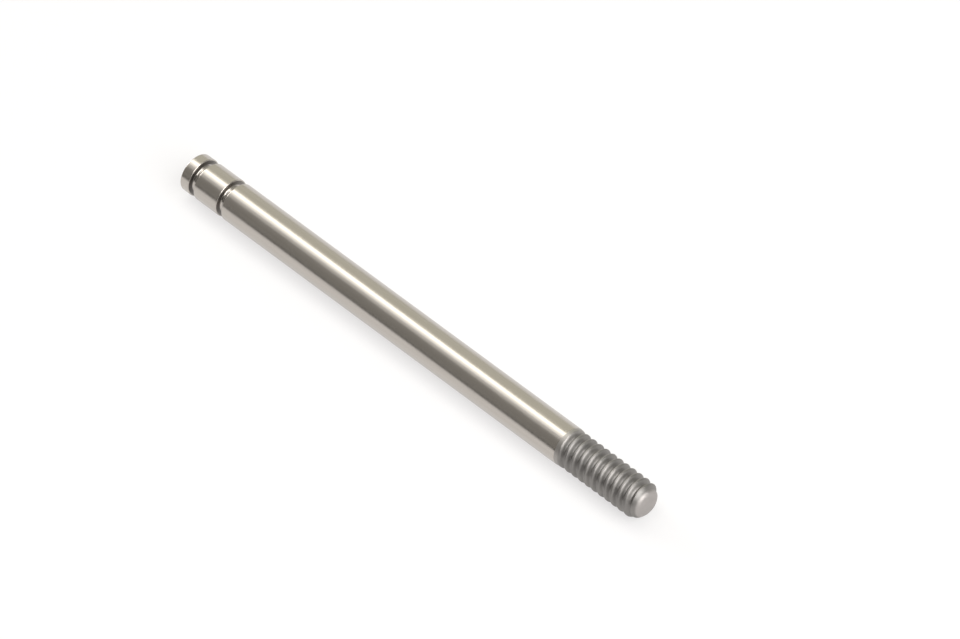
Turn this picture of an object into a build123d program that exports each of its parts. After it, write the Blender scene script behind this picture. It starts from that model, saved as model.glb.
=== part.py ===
from build123d import *

import os
from math import atan, cos, degrees, radians, tan

# A shock absorber shaft: one turned, ground and thread-rolled steel rod.
# It lies along X, its piston end at -X and its thread at +X, with the origin on the axis at mid length.
# All sizes are in millimetres.

# Ground rod
shaft_length = 44.7
rod_diameter = 2.92
edge_break = 0.07

# Piston end: a collar, then a land with a clip groove on each side of it
collar_length = 0.81
land_length = 2.26
groove_width = 0.53
groove_floor_diameter = 2.0
groove_corner_radius = 0.2

# Rod end: a machine thread behind a slight shoulder, and a rounded tip
thread_length = 7.81
thread_diameter = 2.84
thread_pitch = 0.635
thread_angle = 60
crest_cut_share = 1 / 4
root_cut_share = 1 / 6
shoulder_length = 0.55
thread_lag = 0.07
tip_round_length = 0.7
tip_round_radius = 1.3
tip_flat_diameter = 1.68

# Radii and stations along the axis
rod_radius = rod_diameter / 2
floor_radius = groove_floor_diameter / 2
thread_radius = thread_diameter / 2
tip_flat_radius = tip_flat_diameter / 2
piston_face = -shaft_length / 2
tip_face = shaft_length / 2
shoulder = tip_face - thread_length
tip_round_start = tip_face - tip_round_length
collar_groove = piston_face + collar_length
rod_groove = collar_groove + groove_width + land_length

# Thread form: a sharp V of the thread angle, with flats cut at its crest and at its root
half_angle = radians(thread_angle / 2)
sharp_height = thread_pitch / 2 / tan(half_angle)
thread_depth = sharp_height * (1 - crest_cut_share - root_cut_share)
root_half_width = thread_pitch / 2 * root_cut_share

# The groove's section stands a little proud of the crests, with its flanks straight on
overrun_share = 0.08
tool_overrun = thread_pitch * overrun_share
tool_height = thread_depth + tool_overrun
tool_half_width = root_half_width + tool_height * tan(half_angle)

# The groove sinks in over one turn that begins a little after the shoulder, and runs out past the tip
sink_angle = degrees(atan(tool_height / thread_pitch))
full_depth = shoulder + thread_lag + thread_pitch
turned_length = tip_face + thread_pitch - full_depth

# Two diameters nearer than this are taken as one when corners are picked
same_size = 1e-6

with BuildPart() as shaft:
    # Half section of the turned blank, drawn above the axis
    with BuildSketch(Plane.XY) as half_section:
        with BuildLine():
            Polyline(
                (tip_face, tip_flat_radius),
                (tip_face, 0),
                (piston_face, 0),
                (piston_face, rod_radius),
                (shoulder, rod_radius),
                (shoulder + shoulder_length, thread_radius),
                (tip_round_start, thread_radius),
            )
            RadiusArc((tip_round_start, thread_radius), (tip_face, tip_flat_radius), tip_round_radius)
        make_face()

        # Clip grooves, square to the axis, with the corner radius that the grooving tool leaves
        groove_depth = rod_radius - floor_radius
        for groove in (collar_groove, rod_groove):
            with Locations((groove, floor_radius)):
                Rectangle(groove_width, groove_depth, align=(Align.MIN, Align.MIN), mode=Mode.SUBTRACT)
        corners = half_section.vertices().filter_by(lambda v: abs(v.Y - floor_radius) < same_size)
        fillet(corners, groove_corner_radius)

        # Broken edges on the piston face and on both sides of each groove
        rims = half_section.vertices().filter_by(lambda v: abs(v.Y - rod_radius) < same_size)
        chamfer(rims.sort_by(Axis.X)[:-1], edge_break)
    revolve(axis=Axis.X)

    # Right-hand thread: one V groove swept along a helix that first closes in and then runs at full depth
    with BuildLine() as groove_path:
        Helix(
            pitch=thread_pitch / cos(radians(sink_angle)),
            height=thread_pitch,
            radius=thread_radius + tool_height,
            center=(full_depth - thread_pitch, 0, 0),
            direction=(1, 0, 0),
            cone_angle=-sink_angle,
        )
        full_turns = Helix(
            pitch=thread_pitch,
            height=turned_length,
            radius=thread_radius,
            center=(full_depth, 0, 0),
            direction=(1, 0, 0),
        )
    with BuildSketch(Plane(origin=full_turns @ 0, x_dir=(0, 0, 1), z_dir=full_turns % 0)):
        with BuildLine():
            Polyline(
                (tool_overrun, -tool_half_width),
                (-thread_depth, -root_half_width),
                (-thread_depth, root_half_width),
                (tool_overrun, tool_half_width),
                close=True,
            )
        make_face()
    sweep(path=groove_path.line, is_frenet=True, mode=Mode.SUBTRACT)

shaft.part.label = "shaft"

os.makedirs("parts", exist_ok=True)
export_step(shaft.part, "parts/shaft.step")
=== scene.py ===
import math

import bmesh
import bpy
import numpy as np
from mathutils import Matrix, Vector


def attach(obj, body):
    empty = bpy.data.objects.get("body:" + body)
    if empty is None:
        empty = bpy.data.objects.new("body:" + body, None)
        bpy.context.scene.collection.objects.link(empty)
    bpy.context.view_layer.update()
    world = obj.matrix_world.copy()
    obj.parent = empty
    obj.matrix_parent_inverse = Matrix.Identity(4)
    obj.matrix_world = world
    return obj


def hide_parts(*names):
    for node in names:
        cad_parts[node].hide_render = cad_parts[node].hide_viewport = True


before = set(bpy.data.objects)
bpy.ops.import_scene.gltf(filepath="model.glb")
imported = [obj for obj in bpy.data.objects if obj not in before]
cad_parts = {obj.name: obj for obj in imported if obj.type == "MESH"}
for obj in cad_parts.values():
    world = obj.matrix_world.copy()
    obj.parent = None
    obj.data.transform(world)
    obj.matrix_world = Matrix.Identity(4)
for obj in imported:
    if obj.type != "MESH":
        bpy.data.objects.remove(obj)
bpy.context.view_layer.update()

# The shaft is one bar of hardened steel, turned and then centreless ground, so that the rod, the land and
# the collar share one bright surface. Grooves for two retaining clips are turned in at the piston end, and
# a right-hand thread is rolled on at the other, behind a slight shoulder and before a rounded tip.

# Sizes in millimetres, and stations along the axis from mid length
millimetre = 0.001
piston_face = -22.35
tip_face = 22.35
rod_radius = 1.46
edge_break = 0.07
collar_length = 0.81
land_length = 2.26
groove_width = 0.53
groove_floor_radius = 1.0
groove_corner = 0.20
shoulder_start = 14.54
shoulder_end = 15.09
crest_radius = 1.42
root_radius = 1.10
thread_pitch = 0.635
thread_lag = 0.072
tip_round_start = 21.65
tip_round_radius = 1.3
tip_flat_radius = 0.84

columns = 128
angles = np.linspace(0, 2 * np.pi, columns, endpoint=False)


def rounded_profile(corners, radii, steps=8, margin=0.015):
    """A chain of straight runs whose corners are arcs. An arc starts the radius times the tangent of half
    the turn before its corner. From there it goes the sine of the angle turned along the first run, and one
    less its cosine square to it, times the radius. A point a little before and after each arc keeps
    the shading of the flats even."""
    corners = np.asarray(corners, float)
    radii = np.asarray(radii, float)[:, None, None]
    runs = np.diff(corners, axis=0)
    runs /= np.linalg.norm(runs, axis=1)[:, None]
    first, second = runs[:-1], runs[1:]
    turn = np.arccos(np.clip((first * second).sum(axis=1), -1, 1))
    square = second - first * np.cos(turn)[:, None]
    square /= np.sin(turn)[:, None]
    reach = radii[:, 0] * np.tan(turn / 2)[:, None]
    start = corners[1:-1] - first * reach
    angle = turn[:, None, None] * np.linspace(0, 1, steps + 1)[None, :, None]
    arcs = start[:, None] + radii * (np.sin(angle) * first[:, None] + (1 - np.cos(angle)) * square[:, None])
    before = arcs[:, :1] - first[:, None] * margin
    after = arcs[:, -1:] + second[:, None] * margin
    path = np.concatenate([before, arcs, after], axis=1).reshape(-1, 2)
    return np.vstack([corners[:1], path, corners[-1:] - runs[-1:] * margin, corners[-1:]])


def turned(stations, radii):
    """Points of a turned surface: each station along X carries a circle, whose angle runs from straight up
    towards -Y, so Y is minus the radius times the sine and Z the radius times the cosine."""
    x = np.broadcast_to(stations, (len(stations), columns))
    y = -radii * np.sin(angles)
    z = radii * np.cos(angles)
    return np.stack([x, y, z], axis=-1)


# Piston end and rod: the outline from the middle of the piston face to the shoulder
collar_groove = piston_face + collar_length
land = collar_groove + groove_width
rod_groove = land + land_length
rod_start = rod_groove + groove_width
rod_corners = [(piston_face, 0), (piston_face, rod_radius)]
rod_radii = [edge_break]
for start, stop in ((collar_groove, land), (rod_groove, rod_start)):
    rod_corners += [(start, rod_radius), (start, groove_floor_radius)]
    rod_corners += [(stop, groove_floor_radius), (stop, rod_radius)]
    rod_radii += [edge_break, groove_corner, groove_corner, edge_break]
rod_corners.append((shoulder_start, rod_radius))
rod_outline = rounded_profile(rod_corners, rod_radii)
rod_points = turned(rod_outline[:, :1], rod_outline[:, 1:])


def softer(low, high, width):
    """The lower of two heights, with a parabola of this width where they cross."""
    gap = np.clip(width - np.abs(low - high), 0, None)
    return np.minimum(low, high) - gap**2 / (4 * width)


def blank_radius(x):
    """The blank under the thread: a soft step down the shoulder, a cylinder, and the tip's circular arc."""
    down = np.clip((x - shoulder_start) / (shoulder_end - shoulder_start), 0, 1)
    body = rod_radius + (crest_radius - rod_radius) * down**2 * (3 - 2 * down)
    chord = np.array([tip_face - tip_round_start, tip_flat_radius - crest_radius])
    middle = np.array([tip_round_start + tip_face, crest_radius + tip_flat_radius]) / 2
    rise = math.sqrt(tip_round_radius**2 - (chord @ chord) / 4)
    inwards = np.array([chord[1], -chord[0]]) / np.linalg.norm(chord)
    centre = middle + inwards * rise
    dome = centre[1] + np.sqrt(np.clip(tip_round_radius**2 - (x - centre[0]) ** 2, 0, None))
    return np.where(x > tip_round_start, np.minimum(dome, body), body)


# Thread: a fine grid from the shoulder to the face of the tip. The groove sinks in over its first turn, and
# gets shallower along the dome of the tip until it is gone.
rows_in_pitch = 40
thread_rows = round((tip_face - shoulder_start) / thread_pitch * rows_in_pitch)
thread_stations = np.linspace(shoulder_start, tip_face, thread_rows + 1)[:, None]
first_full_turn = shoulder_start + thread_lag + thread_pitch
flank_slope = math.tan(math.radians(60))
root_flat_share = 1 / 6
root_half_width = thread_pitch * root_flat_share / 2
crest_rounding = 0.15
root_rounding = 0.16
sink_depth = rod_radius - root_radius + 2 * crest_rounding
tip_groove_depth = 0.32
tip_run_out = 0.5


def thread_radius(x):
    """Each point belongs to the nearest pass of the groove. Its height over the root grows with the distance
    from the root's middle by the slope of a 60 degree V. The first pass is lifted out of the steel by the
    turn that it still lacks. Crests and roots are rounded where they meet the flanks, as in rolling."""
    turn = angles / (2 * np.pi)
    passes = (x - first_full_turn) / thread_pitch - turn
    nearest = np.floor(passes + 0.5)
    off_root = np.abs(passes - nearest) * thread_pitch
    turned_so_far = nearest + turn + 1
    lift = sink_depth * np.clip(1 - turned_so_far, 0, 1)
    flank = flank_slope * (off_root - root_half_width)
    short_of_tip = np.clip((tip_face - x) / tip_run_out, 0, 1)
    groove_depth = (tip_groove_depth + crest_rounding) * short_of_tip - crest_rounding
    floor = np.minimum(root_radius, blank_radius(x) - groove_depth)
    groove = floor + lift - softer(-flank, np.zeros_like(flank), root_rounding)
    return softer(groove, blank_radius(x), crest_rounding)


thread_points = turned(thread_stations, thread_radius(thread_stations))

# Tip: a small flat, left where the bar was parted off
rings_on_flat = 5
flat_rings = np.linspace(tip_flat_radius, 0, rings_on_flat)[:, None]
flat_points = turned(np.full_like(flat_rings, tip_face), flat_rings)


def quads(rows, first):
    """Four corners of each face of a grid of rings, from one ring to the next and round to the start."""
    row, column = np.meshgrid(np.arange(rows - 1), np.arange(columns), indexing="ij")
    corner = row * columns + column
    beside = row * columns + (column + 1) % columns
    return first + np.stack([corner, beside, beside + columns, corner + columns], axis=-1).reshape(-1, 4)


# The three grids are one mesh, closed by merging the rings that they share and the middles of both ends
grids = [rod_points, thread_points, flat_points]
points = np.concatenate([grid.reshape(-1, 3) for grid in grids]) * millimetre
starts = np.cumsum([0] + [len(grid) * columns for grid in grids])
faces = np.concatenate([quads(len(grid), start) for grid, start in zip(grids, starts)])
shaft_mesh = bpy.data.meshes.new("shaft_steel")
shaft_mesh.from_pydata(points, [], faces)
merge_distance = 2e-7
shortest_edge = 1e-8
merged = bmesh.new()
merged.from_mesh(shaft_mesh)
bmesh.ops.remove_doubles(merged, verts=merged.verts, dist=merge_distance)
bmesh.ops.dissolve_degenerate(merged, edges=merged.edges, dist=shortest_edge)
bmesh.ops.recalc_face_normals(merged, faces=merged.faces)
merged.to_mesh(shaft_mesh)
merged.free()
shaft_mesh.polygons.foreach_set("use_smooth", np.ones(len(shaft_mesh.polygons), bool))
shaft = bpy.data.objects.new("shaft_steel", shaft_mesh)
bpy.context.scene.collection.objects.link(shaft)


def steel(name, colour, roughness):
    """A bare steel with this colour and roughness on its shader, where a texture may take their place."""
    material = bpy.data.materials.new(name)
    material.use_nodes = True
    shader = material.node_tree.nodes["Principled BSDF"]
    shader.inputs["Metallic"].default_value = 1.0
    shader.inputs["Base Color"].default_value = (*colour, 1)
    shader.inputs["Roughness"].default_value = roughness
    return material, material.node_tree, shader


def noise(tree, scale):
    """Noise on the object's own coordinates, with this many cells in a metre along each axis."""
    place = tree.nodes.new("ShaderNodeTexCoord")
    stretch = tree.nodes.new("ShaderNodeVectorMath")
    stretch.operation = "MULTIPLY"
    stretch.inputs[1].default_value = scale
    cells = tree.nodes.new("ShaderNodeTexNoise")
    cells.inputs["Scale"].default_value = 1.0
    cells.inputs["Detail"].default_value = 2.0
    tree.links.new(place.outputs["Object"], stretch.inputs[0])
    tree.links.new(stretch.outputs["Vector"], cells.inputs["Vector"])
    return cells.outputs["Fac"]


def turning_rings(tree, rings):
    """Noise that changes only along the axis and away from it, as the marks of a turning tool do."""
    place = tree.nodes.new("ShaderNodeTexCoord")
    off_axis_part = tree.nodes.new("ShaderNodeVectorMath")
    off_axis_part.operation = "MULTIPLY"
    off_axis_part.inputs[1].default_value = (0, 1, 1)
    radius = tree.nodes.new("ShaderNodeVectorMath")
    radius.operation = "LENGTH"
    along = tree.nodes.new("ShaderNodeSeparateXYZ")
    total = tree.nodes.new("ShaderNodeMath")
    cells = tree.nodes.new("ShaderNodeTexNoise")
    cells.noise_dimensions = "1D"
    cells.inputs["Scale"].default_value = rings
    cells.inputs["Detail"].default_value = 3.0
    tree.links.new(place.outputs["Object"], off_axis_part.inputs[0])
    tree.links.new(off_axis_part.outputs["Vector"], radius.inputs[0])
    tree.links.new(place.outputs["Object"], along.inputs[0])
    tree.links.new(radius.outputs["Value"], total.inputs[0])
    tree.links.new(along.outputs["X"], total.inputs[1])
    tree.links.new(total.outputs["Value"], cells.inputs["W"])
    return cells.outputs["Fac"]


def painted(tree, name):
    """A value that each vertex of the mesh carries."""
    value = tree.nodes.new("ShaderNodeAttribute")
    value.attribute_name = name
    return value.outputs["Fac"]


def spread(tree, value, low, high, start=0.3, end=0.7):
    """A value brought from one range to another, and kept within it."""
    span = tree.nodes.new("ShaderNodeMapRange")
    span.inputs["From Min"].default_value = start
    span.inputs["From Max"].default_value = end
    span.inputs["To Min"].default_value = low
    span.inputs["To Max"].default_value = high
    tree.links.new(value, span.inputs["Value"])
    return span.outputs["Result"]


def blend(tree, value, first, second):
    """Two colours mixed by a value between 0 and 1. Each is plain, or comes from another node."""
    mix = tree.nodes.new("ShaderNodeMix")
    mix.data_type = "RGBA"
    for socket, colour in (("A", first), ("B", second)):
        if isinstance(colour, tuple):
            mix.inputs[socket].default_value = (*colour, 1)
        else:
            tree.links.new(colour, mix.inputs[socket])
    tree.links.new(value, mix.inputs["Factor"])
    return mix.outputs["Result"]


def scored(tree, shader, value, depth):
    """Scratches of this depth in metres, as a bump on the surface."""
    bump = tree.nodes.new("ShaderNodeBump")
    bump.inputs["Strength"].default_value = 1.0
    bump.inputs["Distance"].default_value = depth
    tree.links.new(value, bump.inputs["Height"])
    tree.links.new(bump.outputs["Normal"], shader.inputs["Normal"])


# Ground steel: fine rings from the grinding wheel, and faint lengthwise streaks where a seal has run
ground_steel, ground_tree, ground_shader = steel("ground_steel", (0.49, 0.457, 0.42), 0.24)
streaks = spread(ground_tree, noise(ground_tree, (90, 3200, 3200)), 0, 1)
smudges = spread(ground_tree, noise(ground_tree, (700, 700, 700)), 0.225, 0.255)
wheel_marks = noise(ground_tree, (14000, 260, 260))
ground_colour = blend(ground_tree, streaks, (0.475, 0.443, 0.406), (0.505, 0.471, 0.434))
ground_tree.links.new(ground_colour, ground_shader.inputs["Base Color"])
ground_tree.links.new(smudges, ground_shader.inputs["Roughness"])
scored(ground_tree, ground_shader, wheel_marks, 4e-7)

# Turned steel of the groove walls and the piston face: concentric tool marks, a little darker and duller
turned_steel, turned_tree, turned_shader = steel("turned_steel", (0.28, 0.265, 0.25), 0.38)
tool_marks = turning_rings(turned_tree, 16000)
turned_light = spread(turned_tree, tool_marks, 0, 1)
turned_colour = blend(turned_tree, turned_light, (0.22, 0.21, 0.20), (0.33, 0.315, 0.30))
turned_tree.links.new(turned_colour, turned_shader.inputs["Base Color"])
turned_tree.links.new(spread(turned_tree, tool_marks, 0.42, 0.34), turned_shader.inputs["Roughness"])
scored(turned_tree, turned_shader, tool_marks, 1.2e-6)

# Parted steel of the tip's flat: matt, with wide soft rings and blotches
parted_steel, parted_tree, parted_shader = steel("parted_steel", (0.42, 0.395, 0.38), 0.5)
blotches = spread(parted_tree, noise(parted_tree, (1900, 1900, 1900)), 0, 1)
parted_colour = blend(parted_tree, blotches, (0.40, 0.376, 0.362), (0.44, 0.414, 0.40))
parted_tree.links.new(parted_colour, parted_shader.inputs["Base Color"])
scored(parted_tree, parted_shader, turning_rings(parted_tree, 9000), 1.5e-6)

# Rolled steel of the thread: satin with a soft grain, a little duller down to the roots, and paler on the
# shoulder and on the dome of the tip, which the rolls hardly touch
rolled_steel, rolled_tree, rolled_shader = steel("rolled_steel", (0.26, 0.25, 0.237), 0.48)
grain = noise(rolled_tree, (1500, 1100, 1100))
grain_light = spread(rolled_tree, grain, 0, 1)
rolled_colour = blend(rolled_tree, grain_light, (0.235, 0.225, 0.215), (0.285, 0.272, 0.259))
rolled_colour = blend(rolled_tree, painted(rolled_tree, "by_shoulder"), rolled_colour, (0.37, 0.352, 0.333))
rolled_colour = blend(rolled_tree, painted(rolled_tree, "by_tip"), rolled_colour, (0.42, 0.395, 0.38))
rolled_tree.links.new(rolled_colour, rolled_shader.inputs["Base Color"])
burnish = rolled_tree.nodes.new("ShaderNodeMath")
burnish.operation = "ADD"
rolled_tree.links.new(grain, burnish.inputs[0])
rolled_tree.links.new(painted(rolled_tree, "thread_height"), burnish.inputs[1])
rolled_roughness = spread(rolled_tree, burnish.outputs["Value"], 0.50, 0.47, start=0.35, end=1.65)
rolled_tree.links.new(rolled_roughness, rolled_shader.inputs["Roughness"])
scored(rolled_tree, rolled_shader, grain, 3e-6)

# Each vertex knows how high it stands between the thread's root and the blank, and how near it is to the
# shoulder and to the tip
shoulder_fade_end = 15.15
shoulder_fade = 0.2
tip_pale_radius = 1.05
tip_fade = 0.1
least_room = 0.05
spots = np.empty(len(shaft_mesh.vertices) * 3)
shaft_mesh.vertices.foreach_get("co", spots)
spots = spots.reshape(-1, 3) / millimetre
stations, from_axis = spots[:, 0], np.hypot(spots[:, 1], spots[:, 2])
room_above = np.clip(blank_radius(stations) - root_radius, least_room, None)
heights = np.clip((from_axis - root_radius) / room_above, 0, 1)
heights[stations <= shoulder_start] = 1
near_shoulder = np.clip((shoulder_fade_end - stations) / shoulder_fade, 0, 1)
near_tip = np.clip((tip_pale_radius - from_axis) / tip_fade + 0.5, 0, 1)
near_tip[stations < tip_round_start] = 0
for name, values in (("thread_height", heights), ("by_shoulder", near_shoulder), ("by_tip", near_tip)):
    layer = shaft_mesh.attributes.new(name, "FLOAT", "POINT")
    layer.data.foreach_set("value", values)

# Which finish each face has: the floors of the clip grooves are as bright as the rod
polish_end = 14.72
bright_floor_radius = 1.09
face_margin = 0.001
finishes = [ground_steel, turned_steel, rolled_steel, parted_steel]
for material in finishes:
    shaft_mesh.materials.append(material)
middles = np.empty(len(shaft_mesh.polygons) * 3)
shaft_mesh.polygons.foreach_get("center", middles)
middles = middles.reshape(-1, 3) / millimetre
stations, from_axis = middles[:, 0], np.hypot(middles[:, 1], middles[:, 2])
piston_end = stations < rod_start
groove_floor = piston_end & (stations > collar_groove) & (from_axis < bright_floor_radius)
finish = np.full(len(middles), finishes.index(ground_steel))
finish[piston_end & (from_axis < rod_radius - edge_break)] = finishes.index(turned_steel)
finish[groove_floor] = finishes.index(ground_steel)
finish[stations > polish_end] = finishes.index(rolled_steel)
finish[stations > tip_face - face_margin] = finishes.index(parted_steel)
shaft_mesh.polygons.foreach_set("material_index", finish)
shaft_mesh.update()

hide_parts("shaft")
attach(shaft, "root")

# The floor is a sheet of matt white paper, on which the shaft lies. It glows a little, so that it is as
# white as the background and still takes the shaft's shadow.
floor_half = 3.0
floor_height = -rod_radius * millimetre
floor_corners = [
    (-floor_half, -floor_half, floor_height),
    (floor_half, -floor_half, floor_height),
    (floor_half, floor_half, floor_height),
    (-floor_half, floor_half, floor_height),
]
floor_mesh = bpy.data.meshes.new("paper")
floor_mesh.from_pydata(floor_corners, [], [(0, 1, 2, 3)])
paper = bpy.data.objects.new("paper", floor_mesh)
bpy.context.scene.collection.objects.link(paper)
paper_material = bpy.data.materials.new("paper")
paper_material.use_nodes = True
paper_tree = paper_material.node_tree
paper_shader = paper_tree.nodes["Principled BSDF"]
paper_shader.inputs["Base Color"].default_value = (0.85, 0.85, 0.85, 1)
paper_shader.inputs["Roughness"].default_value = 0.9
paper_shader.inputs["Specular IOR Level"].default_value = 0.0
paper_glow = paper_tree.nodes.new("ShaderNodeEmission")
paper_glow.inputs["Color"].default_value = (1, 0.985, 0.985, 1)
paper_glow.inputs["Strength"].default_value = 0.94
paper_mix = paper_tree.nodes.new("ShaderNodeMixShader")
paper_mix.inputs["Fac"].default_value = 0.32
paper_tree.links.new(paper_glow.outputs["Emission"], paper_mix.inputs[1])
paper_tree.links.new(paper_shader.outputs["BSDF"], paper_mix.inputs[2])
paper_tree.links.new(paper_mix.outputs["Shader"], paper_tree.nodes["Material Output"].inputs["Surface"])
floor_mesh.materials.append(paper_material)

# Lamps: three panels side by side over the piston half of the shaft, bright at the back and dimmer towards
# the camera, so that the bright strip on the rod has a sharp upper edge and fades downwards. One more off
# the threaded end and one far off the piston end light the two sides of each crest of the thread.
panel_distance = 0.35


def panel(name, low, high, brightness, colour=(1, 1, 1), start=-0.45, stop=0.05):
    """A lamp panel that spans two angles over the shaft, counted from -Y over the top, in degrees, and two
    stations along it. Its power is its brightness times pi times its area."""
    middle = math.radians((low + high) / 2)
    length = stop - start
    width = 2 * panel_distance * math.tan(math.radians((high - low) / 2))
    lamp = bpy.data.lights.new(name, "AREA")
    lamp.shape = "RECTANGLE"
    lamp.size = length
    lamp.size_y = width
    lamp.energy = brightness * math.pi * length * width
    lamp.color = colour
    holder = bpy.data.objects.new(name, lamp)
    bpy.context.scene.collection.objects.link(holder)
    away = Vector((0, -math.cos(middle), math.sin(middle)))
    side = Vector((1, 0, 0))
    turn = Matrix((side, away.cross(side), away)).transposed().to_4x4()
    place = away * panel_distance + Vector(((start + stop) / 2, 0, 0))
    holder.matrix_world = Matrix.Translation(place) @ turn


panel("bright_panel", 97, 114, 2.4, colour=(1, 0.99, 0.95))
panel("middle_panel", 82, 97, 1.2)
panel("dim_panel", 66, 82, 0.44)
panel("end_panel", 55, 120, 5.0, start=0.18, stop=0.9)
panel("far_panel", 60, 125, 11.0, start=-1.8, stop=-0.65)

# Room: a warm pale wall behind the shaft, dimmer off the threaded end, and a grey one in front, dark at its
# foot and off the threaded end. A pale wall stands straight off the threaded end. The camera sees only white.
room = bpy.data.worlds.new("room")
room.use_nodes = True
bpy.context.scene.world = room
room_tree = room.node_tree
room_tree.nodes.clear()
direction = room_tree.nodes.new("ShaderNodeTexCoord")
split = room_tree.nodes.new("ShaderNodeSeparateXYZ")
room_tree.links.new(direction.outputs["Generated"], split.inputs[0])


def step_along(axis, low, high):
    """A soft step between two values of one coordinate of the direction."""
    step = room_tree.nodes.new("ShaderNodeMapRange")
    step.interpolation_type = "SMOOTHSTEP"
    step.inputs["From Min"].default_value = low
    step.inputs["From Max"].default_value = high
    room_tree.links.new(split.outputs[axis], step.inputs["Value"])
    return step.outputs["Result"]


front = blend(room_tree, step_along("X", 0.0, 0.4), (0.31, 0.30, 0.28), (0.06, 0.058, 0.056))
front = blend(room_tree, step_along("Z", 0.0, 0.25), (0.05, 0.05, 0.048), front)
back = blend(room_tree, step_along("X", -0.2, 0.25), (0.78, 0.77, 0.67), (0.35, 0.35, 0.335))
walls = blend(room_tree, step_along("Y", -0.15, 0.15), front, back)
walls = blend(room_tree, step_along("X", 0.8, 0.95), walls, (1.6, 1.58, 1.54))
rays = room_tree.nodes.new("ShaderNodeLightPath")
seen = blend(room_tree, rays.outputs["Is Camera Ray"], walls, (1, 1, 1))
background = room_tree.nodes.new("ShaderNodeBackground")
room_tree.links.new(seen, background.inputs["Color"])
room_out = room_tree.nodes.new("ShaderNodeOutputWorld")
room_tree.links.new(background.outputs["Background"], room_out.inputs["Surface"])

# Camera: a long lens, high on the thread's side of the shaft and turned a little about its own line of sight
camera_elevation = math.radians(50.832)
camera_azimuth = math.radians(55.231)
camera_roll = math.radians(-11.943)
camera_distance = 0.88220
rod_diameter = 2 * rod_radius * millimetre
aim_station = Vector((0.0176 * millimetre, 0, 0))
aim_right = 1.4198 * rod_diameter
aim_up = 0.3936 * rod_diameter
towards = Vector((
    math.sin(camera_azimuth) * math.cos(camera_elevation),
    -math.cos(camera_azimuth) * math.cos(camera_elevation),
    math.sin(camera_elevation),
))
level_right = Vector((math.cos(camera_azimuth), math.sin(camera_azimuth), 0))
level_up = towards.cross(level_right)
right = math.cos(camera_roll) * level_right + math.sin(camera_roll) * level_up
up = towards.cross(right)
eye = aim_station + aim_right * right + aim_up * up + towards * camera_distance
lens = bpy.data.cameras.new("camera")
lens.sensor_width = 36
lens.lens = 486.9
lens.clip_start = 0.01
lens.clip_end = 20
camera = bpy.data.objects.new("camera", lens)
bpy.context.scene.collection.objects.link(camera)
camera.matrix_world = Matrix.Translation(eye) @ Matrix((right, up, towards)).transposed().to_4x4()
bpy.context.scene.camera = camera
bpy.context.scene.view_settings.view_transform = "Standard"
